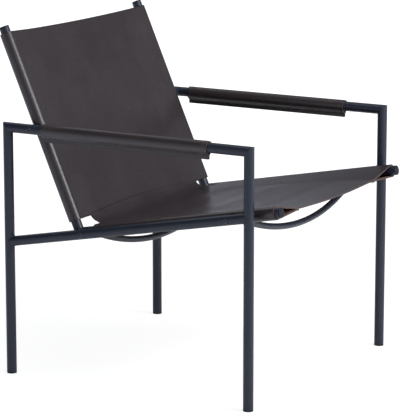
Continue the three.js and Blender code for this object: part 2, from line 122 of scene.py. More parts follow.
# Directions given as side, along and up in a set of axes, in the chair's own frame.
def turned(directions, axes):
    return place(directions, (np.zeros(3), *axes[1:]))


# Meshes

meshSpec = dict(mergeDistance=1e-6, sliver=1e-7, sharpAngle=35.0)


# Arrays stretched to one shape and put side by side along a new last axis.
def stacked(*arrays):
    return np.stack(np.broadcast_arrays(*arrays), axis=-1)


# Corner numbers of a grid's quads, its points counted row by row.
def gridQuads(rows, columns, joinRows=False, joinColumns=False):
    j = np.arange(rows if joinRows else rows - 1)[:, None]
    i = np.arange(columns if joinColumns else columns - 1)[None, :]
    nextJ = (j + 1) % rows
    nextI = (i + 1) % columns
    corners = [j * columns + i, j * columns + nextI, nextJ * columns + nextI, nextJ * columns + i]
    return stacked(*corners).reshape(-1, 4)


# Several (points, faces) pairs as one.
def joined(parts):
    points = []
    faces = []
    count = 0
    for partPoints, partFaces in parts:
        points.append(partPoints.reshape(-1, 3))
        faces.append(partFaces + count)
        count += len(points[-1])
    return np.concatenate(points), np.concatenate(faces)


# Angles of evenly spaced points round a circle.
def roundAngles(count):
    return np.linspace(0, 2 * np.pi, count, endpoint=False)


def addObject(name, data):
    thing = bpy.data.objects.new(name, data)
    bpy.context.collection.objects.link(thing)
    return thing


# A mesh object from points and quads. Doubled points are merged, which closes seams and poles,
# and then the faces of a closed body are turned outwards.
def makePiece(name, points, faces, materials, slot, replaced=(), closed=True, sharpAngle=None):
    mesh = bpy.data.meshes.new(name)
    mesh.from_pydata(points.reshape(-1, 3).tolist(), [], faces.tolist())
    work = bmesh.new()
    work.from_mesh(mesh)
    if closed:
        bmesh.ops.remove_doubles(work, verts=work.verts, dist=meshSpec["mergeDistance"])
        bmesh.ops.dissolve_degenerate(work, edges=work.edges, dist=meshSpec["sliver"])
        bmesh.ops.recalc_face_normals(work, faces=work.faces)
    work.to_mesh(mesh)
    work.free()
    mesh.shade_smooth()
    mesh.set_sharp_from_angle(angle=np.radians(sharpAngle or meshSpec["sharpAngle"]))
    for material in materials:
        mesh.materials.append(material)
    piece = addObject(name, mesh)
    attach(piece, "root")
    if replaced:
        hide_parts(*replaced)
    return piece


# A shape of the right-hand side, mirrored to its side, as the piece that stands for a node.
def sidePiece(name, node, shape, side, finish):
    points, faces = shape
    material, slot = finishes[finish]
    makePiece(name, points * np.array([side, 1.0, 1.0]), faces, [material], slot, [node])


# Half height of a round bar of that radius at a distance p beside its axis.
def chord(radius, p):
    return np.sqrt(np.maximum(radius**2 - p**2, 0))


# Pipe: a round section carried along a straight axis from a start line to an end line, with its
# bore. The profile runs up the outside, over the rounded rim, down the bore and back. The lines
# are functions of the place (p, q) in the section, so that an end is square, mitred or coped.
pipeSpec = dict(sides=64, spacing=0.03, rim=0.0004)


def pipeShape(axes, start, end, startRim=0.0, endRim=0.0,
              radius=chair["tubeRadius"], bore=chair["tubeBore"]):
    middle = np.zeros(1)
    length = float(end(middle, middle)[0] - start(middle, middle)[0])
    steps = max(2, int(length / pipeSpec["spacing"]))
    rings = np.concatenate([np.full(steps + 1, radius), [radius - endRim, bore, bore, radius - startRim]])
    share = np.concatenate([np.linspace(0, 1, steps + 1), [1, 1, 0, 0]])[:, None]
    offset = np.zeros((len(rings), 1))
    offset[0] = startRim
    offset[steps] = -endRim
    angle = roundAngles(pipeSpec["sides"])
    p = rings[:, None] * np.cos(angle)
    q = rings[:, None] * np.sin(angle)
    along = start(p, q) * (1 - share) + end(p, q) * share + offset
    points = place(stacked(p, along, q), axes)
    return points, gridQuads(len(rings), len(angle), joinRows=True, joinColumns=True)


# Flat end of a pipe: the station plus the slope times q, so it is square at slope 0 and a mitre
# at 45 degrees at slope 1.
def flatEnd(station, slope=0.0):
    return lambda p, q: station + slope * q


# Weld: a thin bead that follows an end line round a pipe, half sunk in the corner. Its radius
# swells and shrinks as a cosine of the way round, once for each puddle of the weld.
weldSpec = dict(mitreBead=0.0004, footBead=0.0008, copeBead=0.0014, ripple=0.1, steps=4, sides=8,
                tubePuddles=36, rodPuddles=20)


def beadShape(axes, line, radius, bead, puddles=weldSpec["tubePuddles"]):
    way = roundAngles(weldSpec["steps"] * puddles)[:, None]
    turn = roundAngles(weldSpec["sides"])[None, :]
    size = bead * (1 + weldSpec["ripple"] * np.cos(puddles * way))
    reach = radius + size * np.cos(turn)
    along = line(radius * np.cos(way), radius * np.sin(way)) + size * np.sin(turn)
    points = stacked(reach * np.cos(way), along, reach * np.sin(way))
    return place(points, axes), gridQuads(len(way), weldSpec["sides"], joinRows=True, joinColumns=True)


# Body turned round the along axis from rings of (radius, station), whose radius is one number or
# one for each angle.
def turnedBody(axes, rings, angle):
    radius = np.stack([ringRadius + 0 * angle for ringRadius, _ in rings])
    along = np.array([station for _, station in rings])[:, None]
    points = stacked(radius * np.cos(angle), along, radius * np.sin(angle))
    return place(points, axes), gridQuads(len(rings), len(angle), joinColumns=True)


# Quadratic curve from one point of a profile to another, pulled towards a corner.
def roundOver(start, corner, end, steps):
    t = np.linspace(0, 1, steps + 1)[:, None]
    start, corner, end = (np.array(point) for point in (start, corner, end))
    return ((1 - t) ** 2 * start + 2 * t * (1 - t) * corner + t**2 * end).tolist()


# Shader nodes

# A node with its settings and its sockets' values. A value goes onto a socket as it is, or by a
# link where it comes from another node.
def addNode(tree, kind, sockets=None, **settings):
    node = tree.nodes.new(f"ShaderNode{kind}")
    for setting, value in settings.items():
        setattr(node, setting, value)
    for key, value in (sockets or {}).items():
        if isinstance(value, bpy.types.NodeSocket):
            tree.links.new(value, node.inputs[key])
        else:
            node.inputs[key].default_value = value
    return node


def mathNode(tree, operation, a, b, clamp=False):
    return addNode(tree, "Math", {0: a, 1: b}, operation=operation, use_clamp=clamp).outputs[0]


def noiseNode(tree, vector, scale, detail=3.0, roughness=0.55, output="Fac"):
    sockets = dict(Vector=vector, Scale=scale, Detail=detail, Roughness=roughness)
    return addNode(tree, "TexNoise", sockets).outputs[output]


# Sockets 6 and 7 of a Mix node are its two colours.
def mixColour(tree, factor, a, b):
    return addNode(tree, "Mix", {0: factor, 6: a, 7: b}, data_type="RGBA").outputs[2]


def rangeNode(tree, value, fromLow, fromHigh, toLow=0.0, toHigh=1.0):
    sockets = {0: value, 1: fromLow, 2: fromHigh, 3: toLow, 4: toHigh}
    return addNode(tree, "MapRange", sockets).outputs["Result"]


# Shader groups

def newGroup(name, inputs, outputs):
    group = bpy.data.node_groups.new(name, "ShaderNodeTree")
    for direction, sockets in (("INPUT", inputs), ("OUTPUT", outputs)):
        for label, kind in sockets.items():
            group.interface.new_socket(name=label, in_out=direction, socket_type=f"NodeSocket{kind}")
    return group, group.nodes.new("NodeGroupInput").outputs, group.nodes.new("NodeGroupOutput").inputs


# Grain: rounded cells of a few tenths of a millimetre with creases between them. Their outline is
# bent by a noise, and their height is the root of the distance from the crease, with a share of a
# finer noise and of a broad swell.
grainSpec = dict(bendScale=420.0, bendReach=0.0006, creaseWidth=0.16, fineScale=2600.0, fineShare=0.25,
                 swellShare=0.9)


def grainGroup(spec):
    inputs = dict(Vector="Vector", Cells="Float", Swell="Float")
    group, given, result = newGroup("grain", inputs, dict(Height="Float", Crease="Float"))
    bend = noiseNode(group, given["Vector"], spec["bendScale"], detail=1.0, output="Color")
    drift = addNode(group, "VectorMath", {0: bend, "Scale": spec["bendReach"]}, operation="SCALE")
    moved = addNode(group, "VectorMath", {0: given["Vector"], 1: drift.outputs[0]})
    sockets = dict(Vector=moved.outputs[0], Scale=given["Cells"])
    cells = addNode(group, "TexVoronoi", sockets, feature="DISTANCE_TO_EDGE").outputs["Distance"]
    fine = noiseNode(group, given["Vector"], spec["fineScale"], detail=2.0)
    swell = noiseNode(group, given["Vector"], given["Swell"])
    height = mathNode(group, "SQRT", cells, 0.0)
    height = mathNode(group, "ADD", height, mathNode(group, "MULTIPLY", fine, spec["fineShare"]))
    height = mathNode(group, "ADD", height, mathNode(group, "MULTIPLY", swell, spec["swellShare"]))
    group.links.new(height, result["Height"])
    crease = rangeNode(group, cells, 0.0, spec["creaseWidth"], 1.0, 0.0)
    group.links.new(crease, result["Crease"])
    return group


# Drift: one colour wandering softly towards another, in clouds of two sizes.
driftSpec = dict(broadShare=0.9, fineScale=160.0, fineShare=0.35, cloudRange=(0.38, 0.86))


def driftGroup(spec):
    inputs = dict(Vector="Vector", Tone="Color", Other="Color", Clouds="Float")
    group, given, result = newGroup("toneDrift", inputs, dict(Color="Color", Cloud="Float"))
    broad = noiseNode(group, given["Vector"], given["Clouds"], detail=2.0)
    fine = noiseNode(group, given["Vector"], spec["fineScale"], detail=4.0, roughness=0.7)
    fineHeight = mathNode(group, "MULTIPLY", fine, spec["fineShare"])
    height = mathNode(group, "ADD", mathNode(group, "MULTIPLY", broad, spec["broadShare"]), fineHeight)
    cloud = rangeNode(group, height, *spec["cloudRange"])
    group.links.new(mixColour(group, cloud, given["Tone"], given["Other"]), result["Color"])
    group.links.new(cloud, result["Cloud"])
    return group


# Dust: fine light specks in patches, more of them on faces that look up.
dustSpec = dict(speckScale=1400.0, patchScale=26.0, speckRange=(0.22, 0.5), onWalls=0.15)


def dustGroup(spec):
    group, given, result = newGroup("dust", dict(Vector="Vector", Amount="Float"), dict(Mask="Float"))
    split = addNode(group, "SeparateXYZ", {0: addNode(group, "NewGeometry").outputs["Normal"]})
    facingUp = rangeNode(group, split.outputs["Z"], 0.0, 1.0, spec["onWalls"], 1.0)
    specks = noiseNode(group, given["Vector"], spec["speckScale"], detail=2.0)
    patches = noiseNode(group, given["Vector"], spec["patchScale"], detail=2.0)
    mask = rangeNode(group, mathNode(group, "MULTIPLY", specks, patches), *spec["speckRange"])
    mask = mathNode(group, "MULTIPLY", mask, facingUp)
    group.links.new(mathNode(group, "MULTIPLY", mask, given["Amount"], clamp=True), result["Mask"])
    return group


groups = dict(grain=grainGroup(grainSpec), drift=driftGroup(driftSpec), dust=dustGroup(dustSpec))


def placeGroup(tree, key, vector, **values):
    return addNode(tree, "Group", dict(values, Vector=vector), node_tree=groups[key]).outputs


# Linear colour from 8-bit display values: over 12.92 near black, and a power of 2.4 above.
def shade(red, green, blue):
    c = np.array([red, green, blue]) / 255
    linear = np.where(c <= 0.04045, c / 12.92, ((c + 0.055) / 1.055) ** 2.4)
    return (*(float(value) for value in linear), 1.0)


# Finishes

# Each finish is two tones that drift into each other in clouds, a roughness that goes from its
# low to its high value with them, and a bump. Its layers may change the colour and the roughness,
# and give the bump its height.
def makeFinish(name, spec, layers):
    material = bpy.data.materials.new(name)
    material.use_nodes = True
    tree = material.node_tree
    shader = tree.nodes["Principled BSDF"]
    low, high = spec["roughness"]
    shader.inputs["Roughness"].default_value = (low + high) / 2
    shader.inputs["Specular IOR Level"].default_value = spec["specular"]
    where = addNode(tree, "TexCoord").outputs["Object"]
    tones = dict(Tone=spec["tone"], Other=spec["otherTone"])
    drift = placeGroup(tree, "drift", where, Clouds=spec["clouds"], **tones)
    rough = rangeNode(tree, drift["Cloud"], 0.0, 1.0, low, high) if high > low else None
    colour, rough, height = layers(tree, where, drift["Color"], rough, spec)
    tree.links.new(colour, shader.inputs["Base Color"])
    if rough:
        tree.links.new(rough, shader.inputs["Roughness"])
    distance, strength = spec["bump"]
    bump = addNode(tree, "Bump", dict(Distance=distance, Strength=strength, Height=height))
    tree.links.new(bump.outputs["Normal"], shader.inputs["Normal"])
    return material


def plainLayers(tree, where, colour, rough, spec):
    return colour, rough, noiseNode(tree, where, **spec["relief"])


def dustLayer(tree, where, colour, spec):
    dust = placeGroup(tree, "dust", where, Amount=spec["dust"])
    return mixColour(tree, dust["Mask"], colour, spec["dustTone"])


def paintLayers(tree, where, colour, rough, spec):
    return plainLayers(tree, where, dustLayer(tree, where, colour, spec), rough, spec)


# Painted shade in the creases between the grain's cells, a few pale scuffs drawn out in one direction, a
# dark line beside the cut edges that is partly dye and partly painted shade, and dust.
def leatherLayers(tree, where, colour, rough, spec):
    grain = placeGroup(tree, "grain", where, Cells=spec["cells"], Swell=spec["swell"])
    # Painted shade: the creases between the grain's cells are darkened in colour.
    creaseShade = mathNode(tree, "MULTIPLY", grain["Crease"], spec["creaseShadeShare"])
    colour = mixColour(tree, creaseShade, colour, spec["creaseShadeTone"])
    roughened = mathNode(tree, "MULTIPLY", grain["Crease"], spec["creaseRoughness"])
    rough = mathNode(tree, "ADD", rough, roughened)
    sockets = dict(Vector=where, Scale=spec["scuffStretch"], Rotation=spec["scuffTurn"])
    stretched = addNode(tree, "Mapping", sockets).outputs["Vector"]
    scratch = noiseNode(tree, stretched, **spec["scuffRelief"])
    colour = mixColour(tree, rangeNode(tree, scratch, *spec["scuffRange"]), colour, spec["scuffTone"])
    # A dark band beside every cut edge: partly edge dye, and partly painted shade that darkens the line
    # where the seat's tail ends on the back.
    edge = addNode(tree, "Attribute", attribute_name="edgeDistance")
    dyedAndShaded = rangeNode(tree, edge.outputs["Fac"], *spec["dyeAndShadeRange"])
    colour = mixColour(tree, dyedAndShaded, colour, spec["dyeAndShadeTone"])
    return dustLayer(tree, where, colour, spec), rough, grain["Height"]


# Satin powder coat: orange peel, and a little dust on top.
paintSpec = dict(
    tone=shade(28, 33, 45),
    otherTone=shade(32, 37, 49),
    clouds=14.0,
    roughness=(0.34, 0.38),
    specular=0.36,
    dust=0.02,
    dustTone=shade(120, 122, 125),
    relief=dict(scale=900.0, detail=2.0),
    bump=(0.00012, 0.25),  # distance and strength
)

# Grain side of the saddle leather: very dark brown, with a soft gloss.
leatherSpec = dict(
    tone=shade(43, 36, 37),
    otherTone=shade(51, 43, 45),
    clouds=7.0,
    roughness=(0.21, 0.29),
    specular=0.5,
    cells=780.0,
    swell=55.0,
    # painted shade in the grain's creases
    creaseShadeTone=shade(38, 33, 35),
    creaseShadeShare=0.45,
    creaseRoughness=0.12,
    scuffTone=shade(92, 80, 76),
    scuffStretch=(1.0, 6.0, 3.0),
    scuffTurn=(0.2, 0.4, 0.9),
    scuffRelief=dict(scale=60.0, detail=5.0, roughness=0.75),
    scuffRange=(0.68, 0.8, 0.0, 0.35),
    # dark band beside the cut edges: edge dye, and painted shade along the tail's end on the back
    dyeAndShadeTone=shade(26, 21, 22),
    dyeAndShadeRange=(0.0014, 0.0030, 0.85, 0.0),  # from the edge, and the share of the dark line, dye and painted shade, at each distance
    dust=0.05,
    dustTone=shade(130, 124, 120),
    bump=(0.00035, 0.14),
)

# Flesh side: matt, with short raised fibres.
fleshSpec = dict(
    tone=shade(88, 62, 51),
    otherTone=shade(112, 82, 68),
    clouds=24.0,
    roughness=(0.9, 0.9),
    specular=0.2,
    relief=dict(scale=1500.0, detail=6.0, roughness=0.8),
    bump=(0.0006, 0.6),
)

# Cut edge: burnished, the hide's layers showing as fine clouds.
edgeSpec = dict(
    tone=shade(52, 39, 36),
    otherTone=shade(76, 57, 51),
    clouds=180.0,
    roughness=(0.55, 0.55),
    specular=0.5,
    relief=dict(scale=2200.0),
    bump=(0.0002, 0.4),
)

# Waxed thread: a fine uneven surface.
threadSpec = dict(
    tone=shade(52, 44, 44),
    otherTone=shade(66, 55, 53),
    clouds=60.0,
    roughness=(0.5, 0.5),
    specular=0.5,
    relief=dict(scale=3000.0, detail=1.0),
    bump=(0.0002, 0.5),
)

# Moulded plastic: a fine spark-eroded grain.
plasticSpec = dict(
    tone=shade(14, 17, 23),
    otherTone=shade(21, 24, 31),
    clouds=90.0,
    roughness=(0.34, 0.46),
    specular=0.2,
    relief=dict(scale=2400.0, detail=2.0),
    bump=(0.00008, 0.3),
)

# Blackened steel: a patchy oxide.
steelSpec = dict(
    tone=shade(24, 27, 34),
    otherTone=shade(32, 35, 42),
    clouds=300.0,
    roughness=(0.34, 0.44),
    specular=0.6,
    relief=dict(scale=5000.0, detail=1.0),
    bump=(0.00005, 0.3),
)

paint = makeFinish("powder_coat", paintSpec, paintLayers)
leather = makeFinish("saddle_leather", leatherSpec, leatherLayers)
flesh = makeFinish("flesh_side", fleshSpec, plainLayers)
cutEdge = makeFinish("cut_edge", edgeSpec, plainLayers)
thread = makeFinish("waxed_thread", threadSpec, plainLayers)
plastic = makeFinish("moulded_plastic", plasticSpec, plainLayers)
blackSteel = makeFinish("black_steel", steelSpec, plainLayers)
finishes = dict(
    paint=(paint, "frame_paint"),
    cap=(plastic, "cap_plastic"),
    glide=(plastic, "glide_plastic"),
    steel=(blackSteel, "black_steel"),
)
print("materials made")


# Frame, cradle and fasteners

# Side frame: two legs and an arm rail mitred together, and a seat rail coped to both legs.
def sideFrame(name, side):
    radius = chair["tubeRadius"]
    for end, legY, slope in legParts:
        axes = (np.array([chair["halfFrame"], legY, 0.0]), sideways, upright, -forwards)
        top = flatEnd(chair["railZ"], slope)
        shape = pipeShape(axes, flatEnd(chair["legFoot"]), top, startRim=pipeSpec["rim"])
        node = f"{name}_{end}_leg"
        sidePiece(f"{node}_pipe", node, shape, side, "paint")

    axes = (np.array([chair["halfFrame"], 0.0, chair["railZ"]]), sideways, -forwards, upright)
    lines = [flatEnd(legY, slope) for _, legY, slope in legParts]
    ring = radius - weldSpec["mitreBead"] / 2
    parts = [pipeShape(axes, *lines)]
    parts += [beadShape(axes, line, ring, weldSpec["mitreBead"]) for line in lines]
    sidePiece(f"{name}_arm_rail_pipe", f"{name}_arm_rail", joined(parts), side, "paint")

    origin = np.array([chair["halfFrame"], chair["rearLegY"], chair["seatRailRearZ"]])
    axes = (origin, *seatAxes[1:])
    run, rise = -seatAlong[1], seatAlong[2]
    length = (chair["rearLegY"] - chair["frontLegY"]) / run

    def rearCope(p, q):
        return (chord(radius, p) + q * rise) / run

    def frontCope(p, q):
        return length - (chord(radius, p) - q * rise) / run

    parts = [pipeShape(axes, rearCope, frontCope)]
    parts += [beadShape(axes, line, radius, weldSpec["copeBead"]) for line in (rearCope, frontCope)]
    sidePiece(f"{name}_seat_rail_pipe", f"{name}_seat_rail", joined(parts), side, "paint")


# Cradle tubes: mitred together at the foot of the back, at half the angle between them.
def cradleTubes(name, side):
    fold = np.arccos(np.clip(seatAlong @ backAlong, -1, 1))
    mitre = flatEnd(0.0, 1 / np.tan(fold / 2))
    for part, axes, length in cradleParts:
        axes = shifted(axes, side=chair["halfCradle"])
        parts = [pipeShape(axes, mitre, flatEnd(length), endRim=pipeSpec["rim"])]
        if part == "seat":
            ring = chair["tubeRadius"] - weldSpec["mitreBead"] / 2
            parts.append(beadShape(axes, mitre, ring, weldSpec["footBead"]))
        node = f"{name}_{part}_tube"
        sidePiece(f"{node}_pipe", node, joined(parts), side, "paint")


# Bow: a round rod along a circular arc that hangs below the cradle tubes. Where it meets a tube
# its end follows the tube's surface: at an offset q from the rod's line, the angle along the
# arc ends where the distance to the tube's axis is the tube's radius.
bowSpec = dict(
    radius=0.007,
    sides=32,
    steps=72,
    sags=dict(front_bow=0.059, rear_bow=0.0575, back_bow=0.057),
)


# Radius of the arc between the tubes whose middle hangs by the sag: half the span squared plus
# the sag squared, over twice the sag.
def arcRadius(sag):
    return (chair["halfCradle"] ** 2 + sag**2) / (2 * sag)


def bowPiece(node, axes, station):
    sag = bowSpec["sags"][node]
    half = chair["halfCradle"]
    arc = arcRadius(sag)
    reach = np.arcsin(half / arc)
    ring = roundAngles(bowSpec["sides"])[None, :]
    steps = np.linspace(-1, 1, bowSpec["steps"] + 1)
    share = np.concatenate([steps[:1], steps, steps[-1:]])[:, None]
    radius = np.concatenate([[0.0], np.full(len(steps), bowSpec["radius"]), [0.0]])[:, None]
    p = radius * np.sin(ring)
    far = arc + radius * np.cos(ring)
    end = reach - np.arccos((far**2 + arc**2 - chair["tubeRadius"] ** 2) / (2 * far * arc))
    angle = share * end
    points = stacked(far * np.sin(angle), p, arc - sag - far * np.cos(angle))
    faces = gridQuads(len(share), bowSpec["sides"], joinColumns=True)
    parts = [(place(points, shifted(axes, along=station)), faces)]

    def cope(p, q):
        return chord(chair["tubeRadius"], q)

    for tip in (-1, 1):
        outwards = tip * np.cos(reach) * axes[1] + np.sin(reach) * axes[3]
        origin = shifted(axes, side=tip * half, along=station)[0]
        weldAxes = (origin, axes[2], -outwards, np.cross(axes[2], -outwards))
        bead = beadShape(weldAxes, cope, bowSpec["radius"], weldSpec["copeBead"], weldSpec["rodPuddles"])
        parts.append(bead)
    sidePiece(f"{node}_rod", node, joined(parts), 1, "paint")


# End caps and glides: a flat head with a rounded rim on a spigot that sits in the bore, turned
# from a profile.
plugSpec = dict(
    spigotDepth=0.012,
    spigotGap=0.0003,
    capHead=0.0025,
    glideHead=0.003,
    round=0.001,
    lip=0.0003,
    flatShare=0.6,  # of the radius, within the flat of the head
    roundSteps=(4, 2, 6),  # at the spigot's end, the lip and the head's rim
    sides=48,
)


def plugShape(axes, head):
    radius = chair["tubeRadius"]
    spigot = chair["tubeBore"] - plugSpec["spigotGap"]
    depth = plugSpec["spigotDepth"]
    rim = plugSpec["round"]
    lip = plugSpec["lip"]
    spigotSteps, lipSteps, headSteps = plugSpec["roundSteps"]
    rings = [
        (0, -depth),
        *roundOver((spigot - rim, -depth), (spigot, -depth), (spigot, rim - depth), spigotSteps),
        (spigot, 0),
        *roundOver((radius - lip, 0), (radius, 0), (radius, lip), lipSteps),
        *roundOver((radius, head - rim), (radius, head), (radius - rim, head), headSteps),
        (plugSpec["flatShare"] * radius, head),
        (0, head),
    ]
    return turnedBody(axes, rings, roundAngles(plugSpec["sides"]))


# A cap in the open end of each cradle tube, and a glide under each leg.
def endPlugs(name, side):
    for part, axes, length in cradleParts:
        axes = shifted(axes, side=chair["halfCradle"], along=length + chair["fitGap"])
        shape = plugShape(axes, plugSpec["capHead"])
        sidePiece(f"{name}_{part}_end_cap", f"{name}_{part}_cap", shape, side, "cap")
    for end, legY, _ in legParts:
        origin = np.array([chair["halfFrame"], legY, plugSpec["glideHead"]])
        shape = plugShape((origin, sideways, -upright, forwards), plugSpec["glideHead"])
        node = f"{name}_{end}_glide"
        sidePiece(f"{node}_foot", node, shape, side, "glide")


# Spacer: a short sleeve along X whose ends follow the round tubes that it stands between.
spacerSpec = dict(radius=0.008, bore=0.0033)


def spacerShape(axes, cradleAlong, frameAlong):
    def beside(p, q, along):
        return p * along[2] - q * along[1]

    def inner(p, q):
        return chair["halfCradle"] + chord(chair["tubeRadius"], beside(p, q, cradleAlong))

    def outer(p, q):
        return chair["halfFrame"] - chord(chair["tubeRadius"], beside(p, q, frameAlong))

    return pipeShape(axes, inner, outer, **spacerSpec)


# Bolt: a low head with a rounded rim and a hexagon socket. Round the socket the rings go from a
# circle to a hexagon, whose radius is its half width over the cosine of the angle from the middle
# of the nearest flat.
boltSpec = dict(
    shank=0.003,
    head=0.003,
    round=0.0011,
    roundSteps=6,
    key=0.004,
    socketDepth=0.002,
    socketRim=0.0002,
    tipShare=0.4,  # of the hexagon, where the bottom of the socket starts to fall to its point
    tipDepthShare=1.2,  # of the socket's depth, at the point
    sides=48,
)


def boltShape(axes, node):
    low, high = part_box(node)
    top = high[0]
    radius = (high[1] - low[1]) / 2
    sixth = np.pi / 3
    angle = roundAngles(boltSpec["sides"])
    hexagon = boltSpec["key"] / 2 / np.cos((angle + sixth / 2) % sixth - sixth / 2)
    rim, socketRim, socketDepth = (boltSpec[key] for key in ("round", "socketRim", "socketDepth"))
    rings = [
        (0, low[0]),
        (boltSpec["shank"], low[0]),
        (boltSpec["shank"], top - boltSpec["head"]),
        (radius, top - boltSpec["head"]),
        *roundOver((radius, top - 2 * rim), (radius, top), (radius - 2 * rim, top), boltSpec["roundSteps"]),
        (hexagon + socketRim, top),
        (hexagon, top - socketRim),
        (hexagon, top - socketDepth),
        (boltSpec["tipShare"] * hexagon, top - socketDepth),
        (0, top - boltSpec["tipDepthShare"] * socketDepth),
    ]
    return turnedBody(axes, rings, angle)


# Spacer and bolt at each joint between a side frame and the cradle. The joint's bush keeps its CAD
# mesh and gets the bolt's finish.
def boltSets(name, side):
    for part, centre, cradleAlong, frameAlong in (
        ("seat_front", frontBolt, seatAlong, seatAlong),
        ("seat_rear", rearBolt, seatAlong, seatAlong),
        ("arm", armBolt, backAlong, forwards),
    ):
        node = f"{name}_{part}"
        axes = (centre, -forwards, sideways, upright)
        spacer = spacerShape(axes, cradleAlong, frameAlong)
        sidePiece(f"{node}_spacer_sleeve", f"{node}_spacer", spacer, side, "paint")
        bolt = boltShape(axes, f"right_{part}_bolt")
        sidePiece(f"{node}_bolt_screw", f"{node}_bolt", bolt, side, "steel")
        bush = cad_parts[f"{node}_bush"]
        bush.data.materials.clear()
        bush.data.materials.append(blackSteel)


for name, side in (("left", -1), ("right", 1)):
    sideFrame(name, side)
    cradleTubes(name, side)
    endPlugs(name, side)
    boltSets(name, side)
bowPiece("front_bow", seatAxes, chair["frontStation"])
bowPiece("rear_bow", seatAxes, chair["rearStation"])
bowPiece("back_bow", backAxes, chair["armStation"])
print("frame, cradle, bows and fasteners made")


# Hides and stitches

# Rise from 0 to 1 that is level at both ends: three squares of the share less two cubes.
def smoothStep(value):
    share = np.clip(value, 0, 1)
    return share**2 * (3 - 2 * share)


# Length along each row of a section, summed from its first point.
def girthOf(x, z):
    step = np.hypot(np.diff(x, axis=1), np.diff(z, axis=1))
    return np.concatenate([np.zeros((len(x), 1)), np.cumsum(step, axis=1)], axis=1)


# Shares of the way round: from each whole number to the next, as many even steps as its count.
def wayRound(counts):
    steps = [np.linspace(k, k + 1, n, endpoint=False) for k, n in enumerate(counts)]
    return np.concatenate([*steps, [float(len(counts))]])


# A hide from its middle layer: thickness to both sides, and a small round along its cut edges.
# The grain side is the one that faces the given way at the sheet's highest point.
hideSpec = dict(edgeRound=0.0005, edgeSegments=2, edgeAngle=50.0, sharpAngle=60.0)


def makeHide(name, node, points, faces, uv, edgeDistance, spec, facing):
    points = points.reshape(-1, 3)
    corner = points[faces]
    normals = np.cross(corner[:, 1] - corner[:, 0], corner[:, 3] - corner[:, 0])
    crest = np.argmax(corner.mean(axis=1) @ facing)
    if normals[crest] @ facing < 0:
        faces = faces[:, ::-1]
    used, faces = np.unique(faces, return_inverse=True)
    faces = faces.reshape(-1, 4)
    piece = makePiece(name, points[used], faces, [leather, flesh, cutEdge], spec["slot"], [node],
                      closed=False, sharpAngle=hideSpec["sharpAngle"])
    near = piece.data.attributes.new("edgeDistance", "FLOAT", "POINT")
    near.data.foreach_set("value", edgeDistance.ravel()[used].astype(np.float32))
    layer = piece.data.uv_layers.new(name="hide")
    layer.data.foreach_set("uv", uv.reshape(-1, 2)[used][faces.ravel()].astype(np.float32).ravel())
    solid = piece.modifiers.new("thickness", "SOLIDIFY")
    solid.thickness = spec["thickness"]
    solid.offset = 0.0
    solid.material_offset = 1
    solid.material_offset_rim = 2
    bevel = piece.modifiers.new("edge", "BEVEL")
    bevel.width = hideSpec["edgeRound"]
    bevel.segments = hideSpec["edgeSegments"]
    bevel.limit_method = "ANGLE"
    bevel.angle_limit = np.radians(hideSpec["edgeAngle"])
    bevel.harden_normals = True
    return piece


# Stitches: short threads along a line, each a swollen bar that dips into the hide at both ends.
# The bar's radius is a power of half a sine along it, and its height rises by half a sine out of
# the hide.
stitchSpec = dict(
    pitch=0.0048,
    length=0.0037,
    radius=0.00045,
    slant=0.12,  # sideways, over the length
    sides=6,
    rings=6,
    endShare=0.04,  # of the half sine that is left off at each end
    swellPower=0.6,
    riseShare=1.3,  # of the radius, in the middle
    sinkShare=0.9,  # of the radius, at the ends
    probe=0.0005,  # to both sides of a stitch, for the direction of its line
)


def stitchShape(path, normals, **changes):
    spec = {**stitchSpec, **changes}
    step = np.linalg.norm(np.diff(path, axis=0), axis=1)
    station = np.concatenate([[0.0], np.cumsum(step)])
    count = max(1, int(station[-1] / spec["pitch"]))
    middle = (np.arange(count) + 0.5) * station[-1] / count

    def along(values, at):
        return np.stack([np.interp(at, station, values[:, k]) for k in range(3)], axis=-1)

    centre = along(path, middle)
    ahead = along(path, middle + spec["probe"]) - along(path, middle - spec["probe"])
    ahead /= np.linalg.norm(ahead, axis=1, keepdims=True)
    up = along(normals, middle)
    up -= (up * ahead).sum(axis=1, keepdims=True) * ahead
    up /= np.linalg.norm(up, axis=1, keepdims=True)
    across = np.cross(up, ahead)
    share = np.linspace(0, 1, spec["rings"] + 1)[:, None]
    turn = roundAngles(spec["sides"])[None, :]
    swell = np.sin(np.pi * (spec["endShare"] + (1 - 2 * spec["endShare"]) * share)) ** spec["swellPower"]
    swell[[0, -1]] = 0
    length = (share - 0.5) * spec["length"] + 0 * turn
    rise = spec["radius"] * (spec["riseShare"] * np.sin(np.pi * share) - spec["sinkShare"])
    rise = rise + swell * spec["radius"] * np.sin(turn)
    wide = swell * spec["radius"] * np.cos(turn) + length * spec["slant"]
    local = stacked(wide, length, rise).reshape(-1, 3)
    frames = np.stack([across, ahead, up], axis=1)
    points = centre[:, None, :] + np.einsum("sk,nkc->nsc", local, frames)
    faces = gridQuads(spec["rings"] + 1, spec["sides"], joinColumns=True)
    every = faces[None, :, :] + (np.arange(count) * len(local))[:, None, None]
    return points.reshape(-1, 3), every.reshape(-1, 4)


# Slings

slingSpec = dict(
    slot="sling_leather",
    thickness=0.0032,
    stitchMargin=0.009,  # where flap and sheet lie together
    seamInset=0.004,  # of the seam from the flap's edge
    softness=0.0003,  # of the bend at the seam
    counts=(4, 30, 40, 26, 36),  # columns in each part of the way round
    rowSpacing=0.0045,
    boltRows=9,  # closer rows to each side of a bolt
    boltRowSpacing=0.0016,
    boltClear=0.016,  # from a bolt to the wider rows
    holeRadius=0.0092,  # for a spacer
    slotRadius=0.0082,  # for a bow
    waySamples=2001,
    seamWays=(4.0, 0.45),  # of the stitches on the sheet and on the flap
    seamEndInset=0.004,
    seamSteps=160,
    seamProbe=0.01,
)
backSpec = dict(
    slingSpec,
    start=0.028,
    end=chair["backTubeLength"] - 0.0125,
    flapWidth=0.090,
    seamDrops=(0.0135, 0.0082),  # at the lower edge and at the top
    middleDrops=(0.020, 0.012),
    dropPower=1.0,
    endDip=0.0025,  # of the middle of the top edge
)
